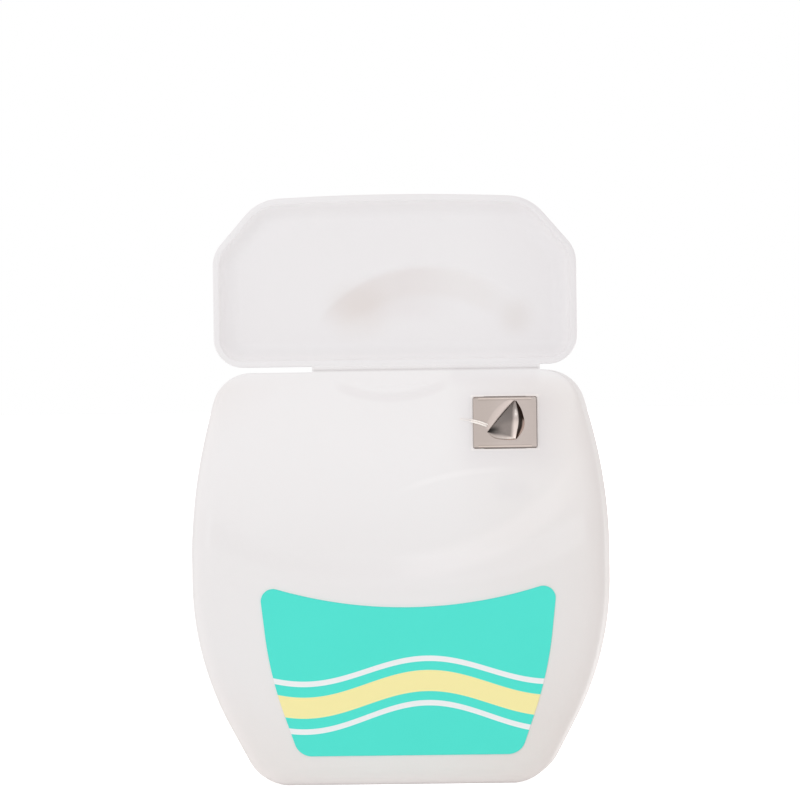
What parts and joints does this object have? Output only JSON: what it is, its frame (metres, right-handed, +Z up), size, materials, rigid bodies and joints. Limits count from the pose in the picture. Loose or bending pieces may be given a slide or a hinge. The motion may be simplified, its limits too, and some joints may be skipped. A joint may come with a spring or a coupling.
{
  "type": "dental floss dispenser",
  "caption": "Flat rounded flip-top floss box of two plastic shells, with a lid on a moulded hinge, a steel cutter on the front deck and a spool of floss inside.",
  "frame": {"origin": "middle of the flat base that the box stands on", "axes": "+Z up, -Y is the front with the cutter and the label, +X is to the right seen from the front"},
  "size_m": [0.0514, 0.0202, 0.0719],
  "materials": {
    "case_plastic": "natural white polypropylene, satin, slightly translucent",
    "cutter_steel": "bright stamped stainless sheet",
    "spool_plastic": "natural white moulding",
    "floss": "white waxed filament",
    "front_label_film": "printed teal film, half gloss",
    "rear_label_film": "printed pale film, half gloss"
  },
  "bodies": {
    "case": {"front_shell": "case_plastic", "rear_shell": "case_plastic", "cutter": "cutter_steel", "spool_carrier": "spool_plastic", "floss_lead": "floss", "hinge_web": "case_plastic", "front_label": "front_label_film", "rear_label": "rear_label_film"},
    "lid": {"lid": "case_plastic"},
    "spool": {"spool": "spool_plastic", "floss_winding": "floss"}
  },
  "joints": [
    {"name": "lid_hinge", "type": "hinge", "parent": "case", "child": "lid", "pos_m": [0.0037, -0.0087, 0.05069], "axis": [1, 0, 0], "range_deg": [0, 180], "deforming": ["hinge_web"]},
    {"name": "spool_spin", "type": "hinge", "parent": "case", "child": "spool", "pos_m": [0, 0, 0.02353], "axis": [0, 1, 0], "continuous": true}
  ]
}
